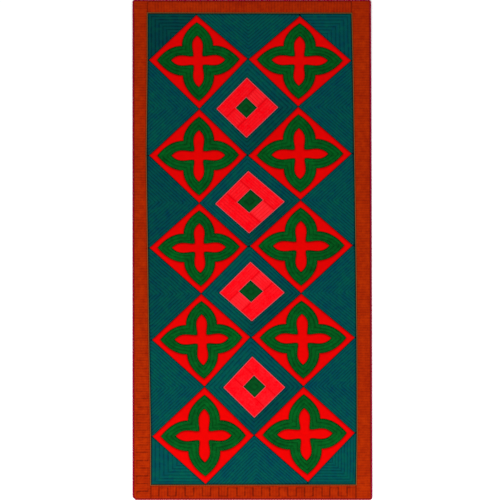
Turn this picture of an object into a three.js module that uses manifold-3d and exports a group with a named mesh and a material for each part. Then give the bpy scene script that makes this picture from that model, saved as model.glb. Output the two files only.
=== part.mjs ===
// A shyrdak: a quilted felt mosaic rug, lying flat. Ten red diamonds, each with a green quatrefoil
// and a red cross let into it, stand in a teal ground, with four pink medallions down the middle.
// Every piece has the rug's full thickness and is sewn edge to edge to its neighbours, and the felt
// is quilted in lines that follow the seams. A rust border, quilted in a line that winds to and fro,
// frames the field.
// Millimetres, +Z up. The origin is on the floor under the middle, and +Y runs to the head end.

import * as THREE from "three";
import { mergeVertices } from "three/addons/utils/BufferGeometryUtils.js";
import Module from "manifold-3d";

const wasm = await Module();
wasm.setup();

// The whole rug
const RUG_WIDTH = 913; // at the foot, over the edge cord
const RUG_LENGTH = 1904; // over the edge cord
const HEAD_TAPER = 5; // the right edge has run in by this much at the head
const CORNER_TRIMS = { footEast: 3, headEast: 2, headWest: 2, footWest: 8 }; // cut off the felt's corners
const GAP = 0.3; // between two pieces
const MERGE_REACH = 1e-4; // corner points nearer than this are one point

// Heights of the felt's upper face
const CROWN = 10; // midway between two stitched lines
const STITCH = 8; // on a stitched line
const SEAM = 7.4; // where two pieces are sewn together
const TUCK = 6.9; // where a quilted face dips into the flat web at its edge
const CAP_FLOOR = 2; // lower face of a quilted cap, inside the web

// Quilting
const CHEVRON_PITCH = 10; // between the nested lines beside the border and at the ends
const CORNER_PITCH = 12; // and in the ground's corners
const CORNER_FOCUS = 0.54; // share of the way along a diamond's side where a corner's lines close in
const CHEVRON_TAPER = 5; // a line falls to the seam over this length at its ends
const SURROUND_CHANNELS = 4; // of the ground, round a medallion
const STRIP_CHANNELS = 3; // along each strip of a medallion
const QUATREFOIL_CHANNELS = 2;
const RAIL_INSET = 11; // a border's winding line stays this far from the strip's edges
const [NEAR_RAIL, FAR_RAIL] = [1, 2]; // columns of a border's cap along which the line runs
const SIDE_RUNG_PITCH = 29;
const END_RUNG_PITCH = 32;
const CAP_INSET = 1.2; // a quilted cap starts this far inside its web
const STRIP_END_INSET = 8; // and this far from a border strip's ends

// Cords
const EDGE_CORD = 6;
const FIELD_CORD = 3;
const MEDALLION_CORD = 3;
const CORE_CORD = 2.4;
const EDGE_CORD_SIDES = 8;
const SEAM_CORD_SIDES = 5;
const EDGE_CORD_MIDDLE = 4; // height of the edge cord's middle
const CORD_REST = 0.4; // between a seam cord and the seam under it
const CORD_MARGIN = 2; // flat felt beside the field cord

// The diamonds' corners. A line of the table is a row of two diamonds, from the head to the foot:
// the left diamond runs from west to leftEast, and the right one from rightWest to east.
const ROWS = [
  { west: [-394, 722], leftEast: [-18, 727], rightWest: [-15, 725], east: [376, 720] },
  { west: [-393, 359], leftEast: [-21, 362], rightWest: [-16, 358], east: [378, 366] },
  { west: [-392, 8], leftEast: [-18, 13], rightWest: [-10, 15], east: [382, 18] },
  { west: [-382, -342], leftEast: [-8, -331], rightWest: [-4, -333], east: [390, -333] },
  { west: [-381, -709], leftEast: [6, -705], rightWest: [7, -704], east: [390, -695] },
];

// The points where the diamonds of a column meet, from the head to the foot.
const TIPS = [
  { left: [-213, 894], right: [180, 890] },
  { left: [-202, 536], right: [174, 545] },
  { left: [-202, 178], right: [183, 190] },
  { left: [-195, -166], right: [185, -165] },
  { left: [-182, -520], right: [194, -519] },
  { left: [-178, -891], right: [211, -883] },
];
const CORNER_NECK = 1; // a diamond stops this far short of those points

// The ground's two edges beside each row of diamonds, and its corners.
const GROUND_EDGES = [
  { west: -399, east: 381 },
  { west: -403, east: 387 },
  { west: -398, east: 392 },
  { west: -393, east: 396 },
  { west: -386, east: 397 },
];
const GROUND_CORNERS = {
  headWest: [-399, 900],
  headEast: [377, 899],
  footWest: [-386, -893],
  footEast: [394, -892],
};

// Medallions from the head to the foot. outer is the share of the way from the middle to the corners of
// the ground around, and shift is how far the medallion sits off the middle. rising and falling are the
// core's spans across the medallion, from its two lower sides to its two upper ones, and longRises says
// whether the two long strips of its four rise to the right.
const MEDALLIONS = [
  { outer: 0.617, shift: [-5, -2], rising: [0.315, 0.67], falling: [0.33, 0.696], longRises: true },
  { outer: 0.677, shift: [1, -5], rising: [0.328, 0.736], falling: [0.331, 0.695], longRises: false },
  { outer: 0.645, shift: [4, 2], rising: [0.315, 0.696], falling: [0.332, 0.717], longRises: true },
  { outer: 0.617, shift: [2, -3], rising: [0.335, 0.71], falling: [0.316, 0.689], longRises: false },
];
const SIDES = ["left", "right"];

// The motif, as shares of the way from a diamond's middle to two neighbouring corners
const LOBE_TIP = new THREE.Vector2(0.843, 0);
const LOBE_BEND = new THREE.Vector2(0.6, 0.32);
const LOBE_NOTCH = new THREE.Vector2(0.318, 0.318);
const LEAF_TIP = new THREE.Vector2(0.548, 0);
const LEAF_SHOULDER = new THREE.Vector2(0.393, 0.198);
const LEAF_WAIST = new THREE.Vector2(0.18, 0.058);
const LEAF_NOTCH = new THREE.Vector2(0.097, 0.097);
const CURVE_STEPS = 3; // along half a lobe or half a leaf

const FELT_ROUGHNESS = 0.95;
const felt = (color) => new THREE.MeshStandardMaterial({ color, roughness: FELT_ROUGHNESS, metalness: 0 });
const TEAL = felt(0x034645);
const RED = felt(0xe00403);
const GREEN = felt(0x064814);
const PINK = felt(0xfa1222);
const CORE_GREEN = felt(0x05461a);
const RUST = felt(0x9e2804);
const CRIMSON = felt(0x971428);
const TAN = felt(0x966e46);
const PALE_PINK = felt(0xeb96a0);

// Points and outlines

const point = ([x, y]) => new THREE.Vector2(x, y);
const between = (from, to, share) => from.clone().lerp(to, share);

// A closed outline, run anticlockwise, moved outwards by a distance with its corners mitred.
function offset(outline, distance) {
  const count = outline.length;
  return outline.map((corner, index) => {
    const before = corner.clone().sub(outline[(index + count - 1) % count]).normalize();
    const after = outline[(index + 1) % count].clone().sub(corner).normalize();
    const outward = new THREE.Vector2(before.y + after.y, -before.x - after.x).normalize();
    const stretch = outward.x * after.y - outward.y * after.x;
    return corner.clone().addScaledVector(outward, distance / stretch);
  });
}

// The way from one point through another, as far as a given x or y.
const toX = (from, through, x) => between(from, through, (x - from.x) / (through.x - from.x));
const toY = (from, through, y) => between(from, through, (y - from.y) / (through.y - from.y));

// A line of points that rises from the foot to the head: its x at a given y.
function crossing(line, y) {
  const upper = line.findIndex((place) => place.y > y);
  return toY(line[upper - 1], line[upper], y).x;
}

// Solids

// A geometry with only its corner points, each point once.
function bare(geometry) {
  geometry.deleteAttribute("normal");
  geometry.deleteAttribute("uv");
  return mergeVertices(geometry, MERGE_REACH);
}

// A closed body whose section is carried round two matching outlines. A section's points are
// pairs of a share, 0 on the inner outline and 1 on the outer one, and a height.
function sweptLoop(inner, outer, section) {
  const profile = section.map(([share, height]) => new THREE.Vector2(share, height));
  const geometry = new THREE.LatheGeometry(profile, outer.length);
  const places = geometry.attributes.position;
  for (let index = 0; index < places.count; index += 1) {
    const station = Math.floor(index / section.length) % outer.length;
    const [share, height] = section[index % section.length];
    const place = between(inner[station], outer[station], share);
    places.setXYZ(index, place.x, place.y, height);
  }
  return bare(geometry);
}

// A closed body under a quilted face: a box whose upper points are raised to place(column, row).
function quiltedCap(columns, rows, place) {
  const geometry = new THREE.BoxGeometry(columns, rows, 1, columns, rows, 1);
  const places = geometry.attributes.position;
  for (let index = 0; index < places.count; index += 1) {
    const column = Math.round(places.getX(index) + columns / 2);
    const row = Math.round(places.getY(index) + rows / 2);
    const upper = places.getZ(index) > 0;
    const { at, height } = place(column, row);
    places.setXYZ(index, at.x, at.y, upper ? height : CAP_FLOOR);
  }
  return bare(geometry);
}

// A flat web of felt, as high as the seams, with windows cut in it.
function web(outline, windows = []) {
  const shape = new THREE.Shape(outline);
  shape.holes = windows.map((window) => new THREE.Path(window));
  return bare(new THREE.ExtrudeGeometry(shape, { depth: SEAM, bevelEnabled: false }));
}

function toManifold(geometry) {
  const vertProperties = new Float32Array(geometry.attributes.position.array);
  const triVerts = new Uint32Array(geometry.index.array);
  return new wasm.Manifold(new wasm.Mesh({ numProp: 3, vertProperties, triVerts }));
}

// Quilted caps joined to the web that they stand in.
function joined(base, caps) {
  const whole = caps.reduce((sum, cap) => sum.add(toManifold(cap)), toManifold(base));
  const { vertProperties, triVerts } = whole.getMesh();
  const geometry = new THREE.BufferGeometry();
  geometry.setAttribute("position", new THREE.BufferAttribute(vertProperties, 3));
  geometry.setIndex(new THREE.BufferAttribute(triVerts, 1));
  return geometry;
}

function piece(name, geometry, material) {
  geometry.computeVertexNormals();
  const mesh = new THREE.Mesh(geometry, material);
  mesh.name = name;
  return mesh;
}

// Sections

// The upper face of a band of channels, from share 1 to share 0, dipping at every stitched line.
function channels(count, edge) {
  const half = 1 / (2 * count);
  const face = [[1, edge]];
  for (let step = 2 * count - 1; step > 0; step -= 1) {
    face.push([step * half, step % 2 ? CROWN : STITCH]);
  }
  face.push([0, edge]);
  return face;
}

// The whole section of a felt band with that many channels, resting on the floor.
const bandSection = (count) => [[0, 0], [1, 0], ...channels(count, SEAM), [0, 0]];

// A felt piece with no window: its section runs from the middle to the rim and back.
const CROSS_SECTION = [[0, 0], [1, 0], [1, SEAM], [0.62, CROWN], [0, STITCH]];
const CORE_SECTION = [[0, 0], [1, 0], [1, SEAM], [0.75, CROWN], [0.5, STITCH], [0.25, CROWN], [0, CROWN]];

// A cord lying over a seam or along an edge, with its middle at a height.
function cordLoop(seam, diameter, middle, sides) {
  const section = [];
  for (let side = 0; side <= sides; side += 1) {
    const angle = (2 * Math.PI * (side % sides)) / sides;
    section.push([0.5 + 0.5 * Math.cos(angle), middle + (diameter / 2) * Math.sin(angle)]);
  }
  return sweptLoop(offset(seam, -diameter / 2), offset(seam, diameter / 2), section);
}

// A cord over a seam rests just clear of the felt on both sides.
function seamCord(seam, diameter) {
  const middle = SEAM + CORD_REST + diameter / 2;
  return cordLoop(seam, diameter, middle, SEAM_CORD_SIDES);
}

// Layout

// A four-cornered place: its corners, anticlockwise from the east, and its middle.
function diamond(east, north, west, south) {
  const middle = between(between(east, west, 0.5), between(north, south, 0.5), 0.5);
  return { middle, corners: [east, north, west, south] };
}

function motifPlace(row, side) {
  const { west, leftEast, rightWest, east } = ROWS[row];
  const [westEnd, eastEnd] = side === "left" ? [west, leftEast] : [rightWest, east];
  const full = diamond(point(eastEnd), point(TIPS[row][side]), point(westEnd), point(TIPS[row + 1][side]));
  const shortened = (corner) => {
    const way = full.middle.clone().sub(corner).setLength(CORNER_NECK);
    return corner.clone().add(way);
  };
  return { middle: full.middle, corners: full.corners.map(shortened) };
}

const rowMiddle = (row) => between(point(ROWS[row].leftEast), point(ROWS[row].rightWest), 0.5);

// The ground round a medallion.
function surroundPlace(index) {
  const tips = TIPS[index + 1];
  return diamond(point(tips.right), rowMiddle(index), point(tips.left), rowMiddle(index + 1));
}

// The corners of a medallion, part of the way out to the ground's corners.
function medallionRim(index) {
  const { middle, corners } = surroundPlace(index);
  const { outer, shift } = MEDALLIONS[index];
  return corners.map((corner) => between(middle, corner, outer).add(point(shift)));
}

// A place in a medallion, at shares of the way across it from its two lower sides.
function placeAcross([east, north, west, south], rising, falling) {
  const lower = between(south, east, rising);
  const upper = between(west, north, rising);
  return between(lower, upper, falling);
}

// The corners of a medallion's core.
function coreRim(rim, [west, east], [south, north]) {
  const shares = [[east, south], [east, north], [west, north], [west, south]];
  return shares.map(([rising, falling]) => placeAcross(rim, rising, falling));
}

const aroundOrigin = (outline, middle) => outline.map((place) => place.clone().sub(middle));

// The seam between the ground and the border: its two sides, from foot to head, and the whole of it.
function sideSeam(edge, foot, head) {
  const beside = ROWS.map((row, index) => new THREE.Vector2(GROUND_EDGES[index][edge], row[edge][1]));
  return [point(foot), ...beside.reverse(), point(head)];
}
const westSeam = sideSeam("west", GROUND_CORNERS.footWest, GROUND_CORNERS.headWest);
const eastSeam = sideSeam("east", GROUND_CORNERS.footEast, GROUND_CORNERS.headEast);
const groundSeam = [...eastSeam, ...westSeam.slice().reverse()];

// Motifs: a frame, a quatrefoil and a cross

// An outline in four like quarters: half-curves run from a tip to the notch and on to the next tip.
function fourfold(corners, halfCurve) {
  const half = halfCurve.getPoints(CURVE_STEPS);
  const other = half.map(({ x, y }) => new THREE.Vector2(y, x)).reverse();
  const quarter = [...half.slice(0, CURVE_STEPS), ...other.slice(0, CURVE_STEPS)];
  return corners.flatMap((corner, index) => {
    const next = corners[(index + 1) % corners.length];
    return quarter.map(({ x, y }) => corner.clone().multiplyScalar(x).addScaledVector(next, y));
  });
}

function motif(row, side) {
  const { middle, corners } = motifPlace(row, side);
  const local = aroundOrigin(corners, middle);
  const steps = 2 * CURVE_STEPS;
  const rim = local.flatMap((corner, index) => {
    const next = local[(index + 1) % local.length];
    return Array.from({ length: steps }, (_, step) => between(corner, next, step / steps));
  });
  const lobes = fourfold(local, new THREE.QuadraticBezierCurve(LOBE_TIP, LOBE_BEND, LOBE_NOTCH));
  const leaves = fourfold(local, new THREE.CubicBezierCurve(LEAF_TIP, LEAF_SHOULDER, LEAF_WAIST, LEAF_NOTCH));
  const centre = leaves.map(() => new THREE.Vector2());

  const frame = sweptLoop(offset(lobes, GAP / 2), offset(rim, -GAP / 2), bandSection(1));
  const quatrefoil = sweptLoop(
    offset(leaves, GAP / 2),
    offset(lobes, -GAP / 2),
    bandSection(QUATREFOIL_CHANNELS),
  );
  const cross = sweptLoop(centre, offset(leaves, -GAP / 2), CROSS_SECTION);

  const label = `${row + 1}_${side}`;
  const group = new THREE.Group();
  group.position.set(middle.x, middle.y, 0);
  group.add(piece(`frame_${label}`, frame, RED));
  group.add(piece(`quatrefoil_${label}`, quatrefoil, GREEN));
  group.add(piece(`cross_${label}`, cross, RED));
  return group;
}

// Medallions: four strips round a core, with cords over their seams

// Steps across a span: at its ends, and where its face has risen from the seam.
function endSteps([from, to], rise) {
  return [from, from + rise, to - rise, to];
}

// Steps across a span at every stitched line and every crown between two.
function lineSteps([from, to]) {
  const lines = 2 * STRIP_CHANNELS;
  return Array.from({ length: lines + 1 }, (_, step) => from + ((to - from) * step) / lines);
}

// A strip between two shares of the way across a medallion each way, quilted along its length.
function stripCap(place, risingSpan, fallingSpan, runsRising, rise) {
  const rising = runsRising ? endSteps(risingSpan, rise) : lineSteps(risingSpan);
  const falling = runsRising ? lineSteps(fallingSpan) : endSteps(fallingSpan, rise);
  const columns = rising.length - 1;
  const rows = falling.length - 1;
  return quiltedCap(columns, rows, (column, row) => {
    const line = runsRising ? row : column;
    const onEdge = column % columns === 0 || row % rows === 0;
    const inside = line % 2 ? CROWN : STITCH;
    return { at: place(rising[column], falling[row]), height: onEdge ? TUCK : inside };
  });
}

// The four strips: two run the whole length of their sides, and two fill the room between them.
function medallionStrips(rim, { rising, falling, longRises }) {
  const place = (...shares) => placeAcross(rim, ...shares);
  const [east, , , south] = rim;
  const side = south.distanceTo(east);
  const inset = CAP_INSET / side;
  const rise = CHEVRON_TAPER / side;
  const whole = [inset, 1 - inset];
  const beside = ([low, high]) => [[inset, low - inset], [high + inset, 1 - inset]];
  const within = ([low, high]) => [low + inset, high - inset];
  const strip = (along, across, runsRising) => {
    const spans = runsRising ? [along, across] : [across, along];
    return stripCap(place, ...spans, runsRising, rise);
  };
  const [along, across] = longRises ? [rising, falling] : [falling, rising];
  const long = beside(across).map((span) => strip(whole, span, longRises));
  const short = beside(along).map((span) => strip(within(across), span, !longRises));
  return [...long, ...short];
}

function medallion(index) {
  const { rising, falling } = MEDALLIONS[index];
  const { middle } = surroundPlace(index);
  const rim = aroundOrigin(medallionRim(index), middle);
  const window = coreRim(rim, rising, falling);
  const coreMiddle = between(window[0], window[2], 0.5);
  const centre = window.map(() => coreMiddle);
  const base = web(offset(rim, -GAP / 2), [offset(window, GAP / 2)]);
  const strips = medallionStrips(rim, MEDALLIONS[index]);
  const coreFelt = sweptLoop(centre, offset(window, -GAP / 2), CORE_SECTION);

  const label = index + 1;
  const group = new THREE.Group();
  group.position.set(middle.x, middle.y, 0);
  group.add(piece(`medallion_${label}`, joined(base, strips), PINK));
  group.add(piece(`core_${label}`, coreFelt, CORE_GREEN));
  group.add(piece(`medallion_cord_${label}`, seamCord(rim, MEDALLION_CORD), PALE_PINK));
  group.add(piece(`core_cord_${label}`, seamCord(window, CORE_CORD), PALE_PINK));
  return group;
}

// Ground

// Lines nested in a corner: each runs beside the two legs from the apex, nearer to a focus on the
// side across from it.
function chevronFan(apex, one, other, pitch, focusShare = 0.5) {
  const focus = between(one, other, focusShare);
  const across = other.clone().sub(one).cross(focus.clone().sub(apex));
  const [first, last] = across > 0 ? [one, other] : [other, one];
  const leg = first.clone().sub(apex);
  const depth = Math.abs(leg.cross(focus.clone().sub(apex))) / leg.length();
  const lines = 2 * Math.round(depth / pitch);
  const columns = 4;
  const rows = lines - 1;
  return quiltedCap(columns, rows, (column, row) => {
    const [start, bend, end] = [first, apex, last].map((corner) => between(corner, focus, row / lines));
    const rise = (from) => Math.min(CHEVRON_TAPER / from.distanceTo(bend), 0.5);
    const line = [start, between(start, bend, rise(start)), bend, between(end, bend, rise(end)), end];
    const onEdge = column % columns === 0 || row % rows === 0;
    const inside = row % 2 ? CROWN : STITCH;
    return { at: line[column], height: onEdge ? TUCK : inside };
  });
}

// Beside the border, between one row of diamonds and the next.
function sideFan(row, column, edge, inward) {
  const apex = point(TIPS[row + 1][column]);
  const [upper, lower] = [row, row + 1].map((end) => {
    return toX(apex, point(ROWS[end][edge]), GROUND_EDGES[end][edge] + inward * CORD_MARGIN);
  });
  return chevronFan(apex, upper, lower, CHEVRON_PITCH);
}

// At the head or the foot, between the left and the right diamond.
function endFan(row, tips, edge) {
  const apex = rowMiddle(row);
  const [left, right] = SIDES.map((side) => toY(apex, point(tips[side]), edge));
  return chevronFan(apex, left, right, CHEVRON_PITCH);
}

// In a corner of the field, its lines running beside the border.
function cornerFan(corner, tip, side, inwardX, inwardY) {
  const apex = point(corner).add(new THREE.Vector2(inwardX, inwardY).multiplyScalar(CORD_MARGIN));
  const alongEnd = new THREE.Vector2(tip[0], apex.y);
  const alongSide = new THREE.Vector2(apex.x, side[1]);
  return chevronFan(apex, alongSide, alongEnd, CORNER_PITCH, CORNER_FOCUS);
}

function groundFelt() {
  const windows = [];
  const caps = [];
  ROWS.forEach((_, row) => {
    SIDES.forEach((side) => windows.push(offset(motifPlace(row, side).corners, GAP / 2)));
  });
  MEDALLIONS.forEach((_, index) => {
    const rim = medallionRim(index);
    const section = [[0, CAP_FLOOR], [1, CAP_FLOOR], ...channels(SURROUND_CHANNELS, TUCK), [0, CAP_FLOOR]];
    windows.push(offset(rim, GAP / 2));
    caps.push(sweptLoop(offset(rim, CAP_INSET), surroundPlace(index).corners, section));
    caps.push(sideFan(index, "left", "west", 1));
    caps.push(sideFan(index, "right", "east", -1));
  });
  const { headWest, headEast, footWest, footEast } = GROUND_CORNERS;
  const headRow = ROWS[0];
  const footRow = ROWS[ROWS.length - 1];
  const headTips = TIPS[0];
  const footTips = TIPS[TIPS.length - 1];
  caps.push(endFan(0, headTips, headEast[1] - CORD_MARGIN));
  caps.push(endFan(ROWS.length - 1, footTips, footEast[1] + CORD_MARGIN));
  caps.push(cornerFan(headWest, headTips.left, headRow.west, 1, -1));
  caps.push(cornerFan(headEast, headTips.right, headRow.east, -1, -1));
  caps.push(cornerFan(footWest, footTips.left, footRow.west, 1, 1));
  caps.push(cornerFan(footEast, footTips.right, footRow.east, -1, 1));
  return joined(web(offset(groundSeam, -GAP / 2), windows), caps);
}

// Border

const FELT_INSET = EDGE_CORD + GAP;
const FELT_CORNERS = {
  footEast: new THREE.Vector2(RUG_WIDTH / 2 - FELT_INSET, FELT_INSET - RUG_LENGTH / 2),
  headEast: new THREE.Vector2(RUG_WIDTH / 2 - FELT_INSET - HEAD_TAPER, RUG_LENGTH / 2 - FELT_INSET),
  headWest: new THREE.Vector2(FELT_INSET - RUG_WIDTH / 2, RUG_LENGTH / 2 - FELT_INSET),
  footWest: new THREE.Vector2(FELT_INSET - RUG_WIDTH / 2, FELT_INSET - RUG_LENGTH / 2),
};

// The two points that are left of a trimmed corner: towards the corner before it and the one after.
function trimmed(name, before, after) {
  const corner = FELT_CORNERS[name];
  return [before, after].map((other) => {
    const way = FELT_CORNERS[other].clone().sub(corner).setLength(CORNER_TRIMS[name]);
    return corner.clone().add(way);
  });
}

const { footEast, headEast, headWest, footWest } = FELT_CORNERS;
const trimmedCorners = {
  footEast: trimmed("footEast", "footWest", "headEast"),
  headEast: trimmed("headEast", "footEast", "headWest"),
  headWest: trimmed("headWest", "headEast", "footWest"),
  footWest: trimmed("footWest", "headWest", "footEast"),
};
const feltOutline = Object.values(trimmedCorners).flat();

// Bricks beside one stitched line, from one long edge of a strip to the other. The line runs along the
// near rail beside a brick, crosses on a rung, and runs along the far rail beside the next brick.
function windingCap(oneEdge, otherEdge, rungs) {
  const columns = 3;
  const rows = 2 * rungs;
  return quiltedCap(columns, rows, (column, row) => {
    const one = oneEdge(row / rows);
    const other = otherEdge(row / rows);
    const rail = RAIL_INSET / one.distanceTo(other);
    const share = [0, rail, 1 - rail, 1][column];
    const onEdge = column % columns === 0 || row % rows === 0;
    const onRung = row % 2 === 0;
    const onRail = column === (row % 4 === 1 ? NEAR_RAIL : FAR_RAIL);
    const inside = onRung || onRail ? STITCH : CROWN;
    return { at: between(one, other, share), height: onEdge ? TUCK : inside };
  });
}

// A strip down one side of the rug, between its left and its right edge at each height.
function sideStrip(outline, leftAt, rightAt) {
  const reach = RUG_LENGTH / 2 - FELT_INSET - STRIP_END_INSET;
  const height = (share) => THREE.MathUtils.lerp(-reach, reach, share);
  const left = (share) => new THREE.Vector2(leftAt(height(share)) + CAP_INSET, height(share));
  const right = (share) => new THREE.Vector2(rightAt(height(share)) - CAP_INSET, height(share));
  const rungs = Math.round((2 * reach) / SIDE_RUNG_PITCH);
  return joined(web(outline), [windingCap(left, right, rungs)]);
}

// A strip across one end of the rug: its corners, anticlockwise from the lower left.
function endStrip(lowerLeft, lowerRight, upperRight, upperLeft) {
  const [capLowerLeft, capLowerRight, capUpperRight, capUpperLeft] = offset(
    [lowerLeft, lowerRight, upperRight, upperLeft],
    -CAP_INSET,
  );
  const upper = (share) => between(capUpperLeft, capUpperRight, share);
  const lower = (share) => between(capLowerLeft, capLowerRight, share);
  const rungs = Math.round(lowerLeft.distanceTo(lowerRight) / END_RUNG_PITCH);
  return joined(web([lowerLeft, lowerRight, upperRight, upperLeft]), [windingCap(upper, lower, rungs)]);
}

function border() {
  const westEdge = westSeam.map(({ x, y }) => new THREE.Vector2(x - GAP / 2, y));
  const eastEdge = eastSeam.map(({ x, y }) => new THREE.Vector2(x + GAP / 2, y));
  const atEnds = (line) => {
    const foot = new THREE.Vector2(line[0].x, footWest.y);
    const head = new THREE.Vector2(line[line.length - 1].x, headWest.y);
    return [foot, ...line, head];
  };
  const westSide = atEnds(westEdge);
  const eastSide = atEnds(eastEdge);
  const left = sideStrip(
    [...westSide, ...trimmedCorners.headWest, ...trimmedCorners.footWest],
    () => footWest.x,
    (y) => crossing(westSide, y),
  );
  const right = sideStrip(
    [...eastSide.slice().reverse(), ...trimmedCorners.footEast, ...trimmedCorners.headEast],
    (y) => crossing(eastSide, y),
    (y) => crossing([footEast, headEast], y),
  );
  const corner = (name, inwardX, y) => new THREE.Vector2(GROUND_CORNERS[name][0] + (inwardX * GAP) / 2, y);
  const head = endStrip(
    corner("headWest", 1, GROUND_CORNERS.headWest[1] + GAP / 2),
    corner("headEast", -1, GROUND_CORNERS.headEast[1] + GAP / 2),
    corner("headEast", -1, headEast.y),
    corner("headWest", 1, headWest.y),
  );
  const foot = endStrip(
    corner("footWest", 1, footWest.y),
    corner("footEast", -1, footEast.y),
    corner("footEast", -1, GROUND_CORNERS.footEast[1] - GAP / 2),
    corner("footWest", 1, GROUND_CORNERS.footWest[1] - GAP / 2),
  );
  const group = new THREE.Group();
  group.add(piece("border_left", left, RUST));
  group.add(piece("border_right", right, RUST));
  group.add(piece("border_head", head, RUST));
  group.add(piece("border_foot", foot, RUST));
  return group;
}

// The whole rug

const rug = new THREE.Group();
rug.add(piece("ground_felt", groundFelt(), TEAL));
ROWS.forEach((_, row) => {
  SIDES.forEach((side) => rug.add(motif(row, side)));
});
MEDALLIONS.forEach((_, index) => rug.add(medallion(index)));
rug.add(border());
rug.add(piece("field_cord", seamCord(groundSeam, FIELD_CORD), TAN));
const edgePath = offset(feltOutline, GAP + EDGE_CORD / 2);
rug.add(piece("edge_cord", cordLoop(edgePath, EDGE_CORD, EDGE_CORD_MIDDLE, EDGE_CORD_SIDES), CRIMSON));

export default rug;
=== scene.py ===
"""A shyrdak, a quilted felt mosaic rug, lying on a pale floor and seen from straight above.

Each felt piece is a sheet of soft channels between stitched lines, sewn edge to edge to its neighbours.
The layout is read from the solids of the frame. Metres, +Z up, +Y to the head of the rug.
"""

import math

import bmesh
import bpy
from mathutils import Matrix, Vector, geometry, noise


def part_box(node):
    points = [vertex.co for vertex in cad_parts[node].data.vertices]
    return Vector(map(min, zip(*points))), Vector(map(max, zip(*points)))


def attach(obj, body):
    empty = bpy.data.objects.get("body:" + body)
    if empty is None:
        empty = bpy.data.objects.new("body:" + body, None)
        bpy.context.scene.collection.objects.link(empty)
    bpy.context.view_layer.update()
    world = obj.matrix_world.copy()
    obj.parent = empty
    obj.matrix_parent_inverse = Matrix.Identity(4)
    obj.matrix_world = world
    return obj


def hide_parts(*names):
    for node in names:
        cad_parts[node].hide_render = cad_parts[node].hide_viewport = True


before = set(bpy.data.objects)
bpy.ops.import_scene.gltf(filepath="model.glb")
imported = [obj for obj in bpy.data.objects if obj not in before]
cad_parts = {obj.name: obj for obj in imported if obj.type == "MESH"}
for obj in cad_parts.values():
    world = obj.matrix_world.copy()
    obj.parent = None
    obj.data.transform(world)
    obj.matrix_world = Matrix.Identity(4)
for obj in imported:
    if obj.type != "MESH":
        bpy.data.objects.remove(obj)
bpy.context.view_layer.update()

ROWS = range(1, 6)  # of diamonds, from the head to the foot
HEAD_ROW, FOOT_ROW = ROWS[0], ROWS[-1]
SIDES = ("left", "right")
GAP = 0.00003  # between two pieces that are sewn together
WELD = GAP / 10  # points of a mesh nearer than this are one

# Medallions
MEDALLIONS = range(1, 5)
LONG_STRIPS_RISE = {1: True, 2: False, 3: True, 4: False}  # to the right, or to the left
LONG_STRIP_NAP = -0.3  # felt looks lighter or darker by the lie of its fibres
SHORT_STRIP_NAPS = {1: (-0.1, 0.05), 2: (0.25, -0.1), 3: (0.25, -0.1), 4: (-0.1, -0.25)}

# Heights of the felt's upper face
CROWN = 0.0100  # midway between two stitched lines
STITCH = 0.0080  # on a stitched line
STRIP_STITCH = 0.0092  # and on one of a medallion's strips
SEAM = 0.0068  # where two pieces are sewn together
STRIP_SEAM = 0.0094  # where two like strips are
SWELL = 0.0004  # a crown is higher or lower by up to this
SWELL_LENGTH = 0.050

# Quilting
CHEVRON_PITCH = 0.010
CORNER_PITCH = 0.012
MIDDLE_FOCUS = 0.5  # share of the edge where the lines of a fan close in
CORNER_FOCUS = 0.54  # and of a diamond's side, from its outer corner, for a fan in a corner
SURROUND_CHANNELS = 4
QUATREFOIL_CHANNELS = 3
STRIP_CHANNELS = 5
CORE_CHANNELS = 1.5
CHANNEL_ROWS = 6  # rows of faces across a channel
RIDGE_ROUNDNESS = 0.6
END_DROP = 0.0045  # a line falls to the seam over this length at its ends
PUFF = 0.007  # plain felt rises from its edge over this width
PUFF_ROWS = 14
SEAM_WIDTH = 0.0054  # painted shade, with the seam's dark thread, reaches this near to a seam
CORD_SEAM_WIDTH = 0.009  # and this near to a cord
BUTT_SEAM_WIDTH = 0.0025  # and this near to the ends of a border strip
BUTT_SHADE = {"foot": 0.6, "head": 0.2}  # share of its shade that a side strip keeps beside an end strip
LEAST_SLANT = 0.3  # felt is taken to leave its edges at least this squarely
STATION = 0.008  # between points along a line
WAVER = 0.0015  # a hand-sewn line strays by up to this
WAVER_LENGTH = 0.070
WAVER_SEED = 1  # so that it strays alike each time
LANE_SHIFT = 0.0010  # and lies up to this much nearer to one of its neighbours
LANE_SHIFT_SCALE = 9  # which changes over about a ninth of a metre
STEADY = 0.012  # within this distance of an edge a line strays less

# The border's winding line
RAIL_INSET = 0.011  # of the line from a strip's edges, where it runs along the strip
SIDE_RUNG_PITCH = 0.029
END_RUNG_PITCH = 0.032
RUNG_STEPS = 6  # columns of faces from one rung to the next
RUNG_STRAY = 0.005  # a rung is out of step by up to this
RUNG_STRAY_LENGTH = 1.7  # rungs over which that changes
RUNG_PUFF = 0.006  # felt rises from the line over this width
RAIL_PULL = 0.65  # the line is slacker along the strip than across it
RIB_PULL = 0.4  # faint ribs across the strip
RIB_STEPS = 2  # columns of faces from one rib to the next
LINE_PULLS = {  # a slack line hardly shows; from the foot to the head, or from left to right
    "border_left": (1.0, 0.2),
    "border_right": (0.5, 0.2),
    "border_head": (0.2, 0.2),
    "border_foot": (1.0, 1.0),
}
PULL_FADE = 3  # the higher, the sooner a line that gets slack is slack
RAIL_ROWS = 4  # rows of faces from an edge to the line beside it
BRICK_ROWS = 10  # and from there to the line beside the other edge
OUTER_RAIL, INNER_RAIL = RAIL_ROWS, RAIL_ROWS + BRICK_ROWS
END_STRIP_NAP = 0.1
CORD_TOUCH = 0.00055  # the felt swells this far out towards the edge cord

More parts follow.
